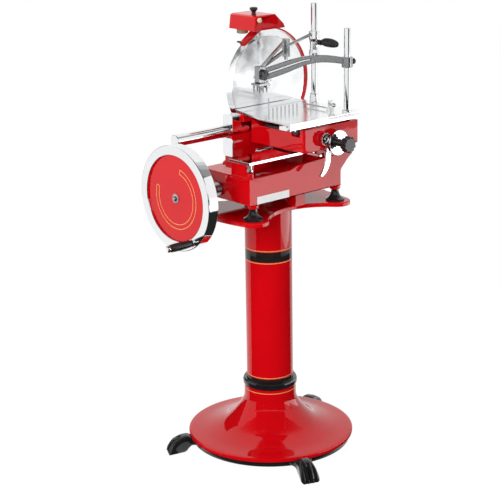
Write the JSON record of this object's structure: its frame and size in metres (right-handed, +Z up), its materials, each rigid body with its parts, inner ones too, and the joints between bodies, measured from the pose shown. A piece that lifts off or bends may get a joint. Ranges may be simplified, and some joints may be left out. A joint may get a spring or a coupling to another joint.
{
  "type": "hand crank meat slicer",
  "caption": "Hand crank flywheel meat slicer on a pedestal stand: a sliding carriage with a meat table and clamp runs past an upright round blade",
  "frame": {"origin": "On the floor, under the middle of the whole machine", "axes": "+Z up; +X along the guide rod and the flywheel shaft, away from the flywheel; +Y from the operator towards the blade"},
  "size_m": [0.7716, 0.574, 1.359],
  "materials": {
    "red_enamel": "gloss enamel, deep red",
    "black_enamel": "gloss black enamel",
    "chrome": "polished chrome",
    "polished_steel": "mirror polished stainless steel",
    "machined_steel": "machined steel",
    "cast_aluminium": "satin aluminium",
    "black_plastic": "black phenolic",
    "roller_steel": "hardened steel",
    "bronze": "bronze",
    "ivory_plastic": "ivory button",
    "white_plate": "white enamelled plate, bare"
  },
  "bodies": {
    "frame": {"paw_feet": "black_enamel", "pedestal_base": "red_enamel", "neck_ring": "black_enamel", "column": "red_enamel", "tie_rod": "machined_steel", "star_plate": "red_enamel", "bell_feet": "black_enamel", "base_housing": "red_enamel", "name_plate": "white_plate", "deck_plate": "chrome", "rod_wall": "red_enamel", "wall_cover": "chrome", "guide_rod": "chrome", "blade_upright": "red_enamel", "blade_guard": "red_enamel", "shaft_bushes": "bronze", "chain_cover": "red_enamel", "drive_chain": "machined_steel", "sharpener_hood": "red_enamel", "hone_arm": "red_enamel"},
    "flywheel": {"flywheel_rim": "chrome", "flywheel_disc": "red_enamel", "main_shaft": "machined_steel", "crank_pin": "chrome"},
    "crank_handle": {"crank_grip": "black_plastic"},
    "cross_drive": {"cross_shaft": "machined_steel"},
    "knife": {"blade": "polished_steel", "hub_nut": "chrome", "blade_shaft": "machined_steel"},
    "carriage": {"carriage_frame": "red_enamel", "rod_saddles": "chrome", "guide_blocks": "chrome", "slide_bars": "black_plastic", "carriage_pins": "chrome", "trip_bar": "chrome", "drive_link": "chrome", "bridge_plate": "polished_steel"},
    "table_roller_pair": {"table_rollers": "black_plastic"},
    "deck_wheel": {"deck_roller": "roller_steel"},
    "feed": {"feed_screw": "machined_steel", "feed_knob": "black_plastic"},
    "yoke": {"feed_yoke": "chrome"},
    "index": {"index_wheel": "chrome"},
    "lever": {"feed_lever": "chrome"},
    "table": {"table_sheet": "polished_steel", "table_frame": "chrome", "feed_nut": "bronze", "table_comb": "machined_steel", "table_posts": "chrome", "fence_bracket": "chrome"},
    "fence_screw": {"fence_knob": "chrome"},
    "clamp": {"press_arm": "cast_aluminium", "post_clamp": "chrome", "press_head": "cast_aluminium"},
    "hub_thumb": {"hub_screw": "black_plastic"},
    "paddle": {"clamp_paddle": "black_plastic"},
    "star": {"head_knob": "black_plastic"},
    "stone": {"grind_stone": "bronze"},
    "button": {"hone_button": "ivory_plastic"},
    "cover_knob": {"hood_knob": "black_plastic"}
  },
  "joints": [
    {"name": "flywheel_turn", "type": "hinge", "parent": "frame", "child": "flywheel", "pos_m": [-0.29, 0.0315, 0.855], "axis": [1, 0, 0], "continuous": true},
    {"name": "grip_spin", "type": "hinge", "parent": "flywheel", "child": "crank_handle", "pos_m": [-0.33, -0.05059, 0.74283], "axis": [1, 0, 0], "continuous": true},
    {"name": "cross_turn", "type": "hinge", "parent": "frame", "child": "cross_drive", "pos_m": [0.164, 0.1315, 0.855], "axis": [0, 1, 0], "continuous": true},
    {"name": "blade_turn", "type": "hinge", "parent": "frame", "child": "knife", "pos_m": [0.164, 0.1385, 1.115], "axis": [0, 1, 0], "continuous": true},
    {"name": "carriage_slide", "type": "slide", "parent": "frame", "child": "carriage", "axis": [1, 0, 0], "range_m": [-0.2, 0]},
    {"name": "table_roller_turn", "type": "hinge", "parent": "carriage", "child": "table_roller_pair", "pos_m": [0.059, -0.1045, 1.0192], "axis": [1, 0, 0], "range_deg": [0, 530]},
    {"name": "deck_roller_turn", "type": "hinge", "parent": "carriage", "child": "deck_wheel", "pos_m": [0.126, -0.0655, 0.9628], "axis": [0, 1, 0], "range_deg": [-1208, 0]},
    {"name": "table_slide", "type": "slide", "parent": "carriage", "child": "table", "axis": [0, 1, 0], "range_m": [-0.12, 0]},
    {"name": "feed_turn", "type": "hinge", "parent": "carriage", "child": "feed", "pos_m": [0.17, -0.1435, 0.975], "axis": [0, 1, 0], "range_deg": [-5401, 0]},
    {"name": "yoke_swing", "type": "hinge", "parent": "carriage", "child": "yoke", "pos_m": [0.17, -0.1625, 0.975], "axis": [0, -1, 0], "range_deg": [-20, 20]},
    {"name": "index_turn", "type": "hinge", "parent": "carriage", "child": "index", "pos_m": [0.128, -0.1515, 0.99], "axis": [0, -1, 0], "continuous": true},
    {"name": "lever_swing", "type": "hinge", "parent": "carriage", "child": "lever", "pos_m": [0.134, -0.1525, 0.958], "axis": [0, -1, 0], "range_deg": [-25, 20]},
    {"name": "fence_screw_turn", "type": "hinge", "parent": "table", "child": "fence_screw", "pos_m": [0.216, -0.0905, 1.07], "axis": [0, -1, 0], "range_deg": [-180, 180]},
    {"name": "clamp_slide", "type": "slide", "parent": "table", "child": "clamp", "axis": [0, 0, 1], "range_m": [-0.045, 0.06]},
    {"name": "hub_screw_turn", "type": "hinge", "parent": "clamp", "child": "hub_thumb", "pos_m": [0.2615, -0.1285, 1.198], "axis": [1, 0, 0], "range_deg": [-180, 180]},
    {"name": "paddle_turn", "type": "hinge", "parent": "clamp", "child": "paddle", "pos_m": [0.239, -0.0205, 1.243], "axis": [0, -1, 0], "range_deg": [-90, 90]},
    {"name": "star_turn", "type": "hinge", "parent": "clamp", "child": "star", "pos_m": [0.022, -0.0055, 1.172], "axis": [0, -1, 0], "range_deg": [-180, 180]},
    {"name": "stone_spin", "type": "hinge", "parent": "frame", "child": "stone", "pos_m": [0.088, 0.1595, 1.284], "axis": [0, 0, 1], "continuous": true},
    {"name": "button_push", "type": "slide", "parent": "frame", "child": "button", "axis": [0, 1, 0], "range_m": [0, 0.004], "stiffness_N_per_m": 400, "springref_m": -0.002},
    {"name": "cover_knob_turn", "type": "hinge", "parent": "frame", "child": "cover_knob", "pos_m": [0.091, 0.1115, 1.338], "axis": [0, 0, 1], "range_deg": [-180, 180]}
  ],
  "couplings": [
    {"joint": "cross_turn", "follows": "flywheel_turn", "ratio": 2},
    {"joint": "blade_turn", "follows": "flywheel_turn", "ratio": 3},
    {"joint": "table_roller_turn", "follows": "table_slide", "rad_per_m": -76.923},
    {"joint": "deck_roller_turn", "follows": "carriage_slide", "rad_per_m": 105.26},
    {"joint": "feed_turn", "follows": "table_slide", "rad_per_m": 785.4}
  ]
}
